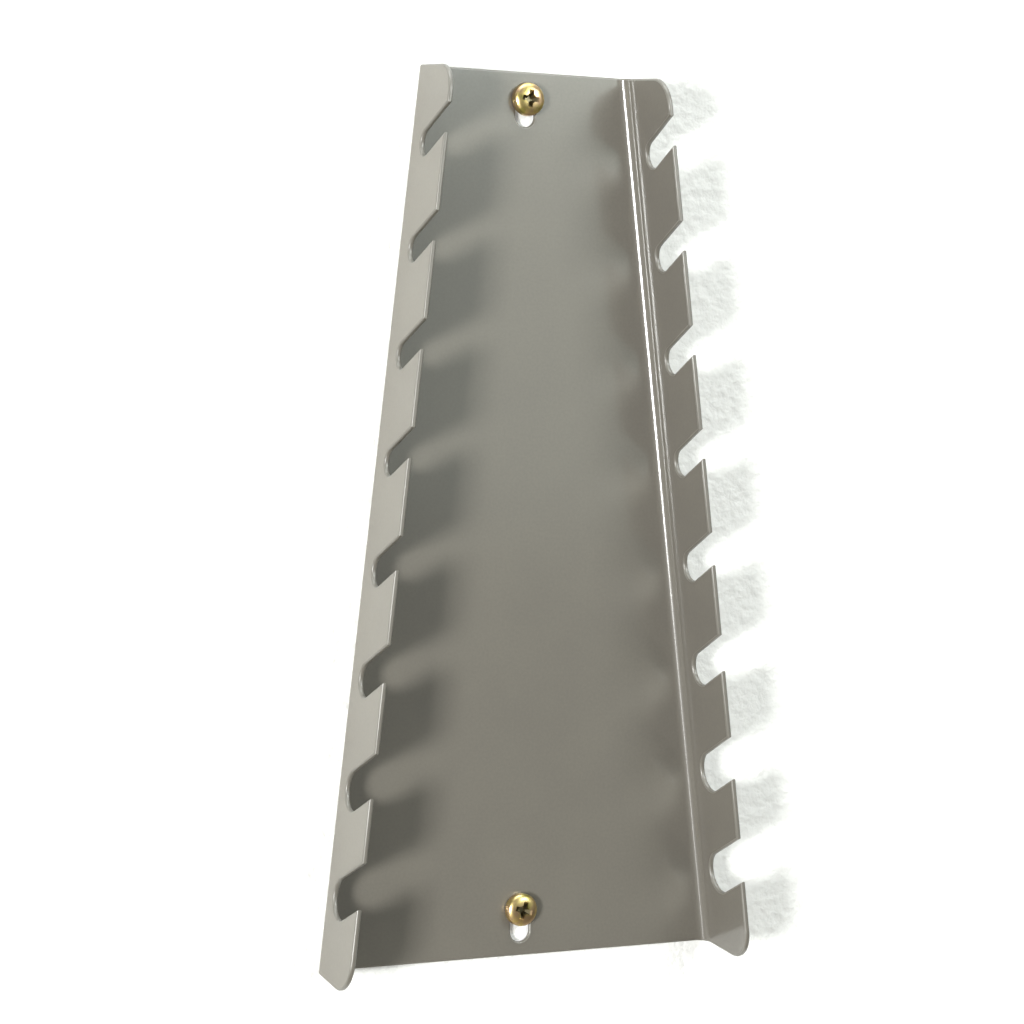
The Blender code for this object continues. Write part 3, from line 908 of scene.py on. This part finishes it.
# %% [markdown]
# ## Light
#
# Each lamp stands where something in the picture asks for it. The left lamp is small and bright and level
# with the rack: it throws the shadows of the teeth, and it draws the bright line on the right fold. A low
# strip below it carries that line on down the fold. The right lamp is close and higher, so its light fades
# down the plate. Two broad faint lamps stand for a window, which the plate mirrors softly in its upper half.
# A broad lamp overhead gives the screw heads their bright tops, and the room adds an even light, brighter
# from above. Only the camera sees that room as plain white. A lamp behind the wall shows the back to anyone
# who walks round it. Light linking keeps it to the rack's own pieces, the wall doesn't block it, and it
# isn't seen in reflections.

# %% Lamps
def lamp(name, left, up, distance, width, height, share, tint):
    """Soft lamp seen from the rack at these angles; share is how bright it makes a white plate."""
    left, up = radians(left), radians(up)
    towards = Vector((-sin(left) * cos(up), -cos(left) * cos(up), sin(up)))
    data = bpy.data.lights.new(name, "AREA")
    data.shape = "RECTANGLE"
    data.size = width
    data.size_y = height
    data.color = tint
    data.energy = share * pi * pi * distance ** 2 / abs(towards.y)
    made = new_object(name, data)
    made.location = towards * distance
    made.rotation_euler = (-towards).to_track_quat("-Z", "Y").to_euler()
    made.visible_camera = False
    return made


# name, degrees left, degrees up, distance, width and height in metres, share, tint
LAMPS = (
    ("left_lamp", 49.5, -3, 2.2, 0.42, 0.42, 0.85, (0.99, 1, 0.98)),
    ("low_lamp", 47, -17, 2.0, 0.15, 0.5, 0.03, (1, 1, 1)),
    ("right_lamp", -31, 24.5, 1.4, 0.66, 0.4, 0.4, (0.95, 1, 0.97)),
    ("window", -25, 10, 2.0, 0.85, 0.85, 0.03, (0.88, 1, 0.92)),
    ("window_top", -25, 15.5, 2.0, 0.85, 0.35, 0.02, (0.88, 1, 0.92)),
    ("top_lamp", 0, 76, 1.3, 1.2, 0.8, 0.22, (0.95, 1, 0.97)),
    ("back_lamp", 178, 12, 2.2, 0.6, 0.6, 0.7, (1, 1, 1)),
)
lamps = {name: lamp(name, *sizes) for name, *sizes in LAMPS}
back_lamp = lamps["back_lamp"]
back_lamp.visible_glossy = False
rack_pieces = bpy.data.collections.new("rack_pieces")
for piece, *_ in pieces:
    rack_pieces.objects.link(piece)
back_lamp.light_linking.receiver_collection = rack_pieces
back_lamp.light_linking.blocker_collection = rack_pieces
print("lamps:", list(lamps))

# %% The room
ROOM_BELOW = (0.035, 0.033, 0.03, 1)
ROOM_ABOVE = (0.28, 0.285, 0.28, 1)
WHITE = (1, 1, 1, 1)

world = bpy.data.worlds.new("room")
bpy.context.scene.world = world
world.use_nodes = True
tree = world.node_tree
towards = add(tree, "ShaderNodeTexCoord").outputs["Generated"]
height = add(tree, "ShaderNodeSeparateXYZ", (towards,)).outputs["Z"]
level = add(tree, "ShaderNodeMapRange", {"Value": height, "From Min": -0.8, "From Max": 0.9})
room = add(tree, "ShaderNodeValToRGB", {"Fac": level.outputs[0]})
room.color_ramp.elements[0].color = ROOM_BELOW
room.color_ramp.elements[1].color = ROOM_ABOVE
seen = add(tree, "ShaderNodeLightPath").outputs["Is Camera Ray"]
shown = add(tree, "ShaderNodeMix", {0: seen, 6: room.outputs["Color"], 7: WHITE}, data_type="RGBA")
tree.links.new(shown.outputs[2], tree.nodes["Background"].inputs["Color"])
bpy.context.scene.view_settings.view_transform = "Standard"
print("room:", len(tree.nodes), "nodes")

# %% [markdown]
# ## Camera
#
# The photographer stood to the left, a little above the rack's middle, with a long lens. The distance,
# the aim and the slight roll were worked out from the corners of the slots.

# %% Camera
camera = new_object("camera", bpy.data.cameras.new("camera"))
camera.data.lens = 92.1
camera.data.sensor_width = 36
camera.location = (-0.3164, -0.6921, 0.0225)
aim = Vector((-0.00272, 0, 0.00103))
roll = Quaternion((0, 0, 1), radians(0.362))
camera.rotation_euler = ((aim - camera.location).to_track_quat("-Z", "Y") @ roll).to_euler()
bpy.context.scene.camera = camera
print("camera mm from the aim:", round((aim - camera.location).length / MM))
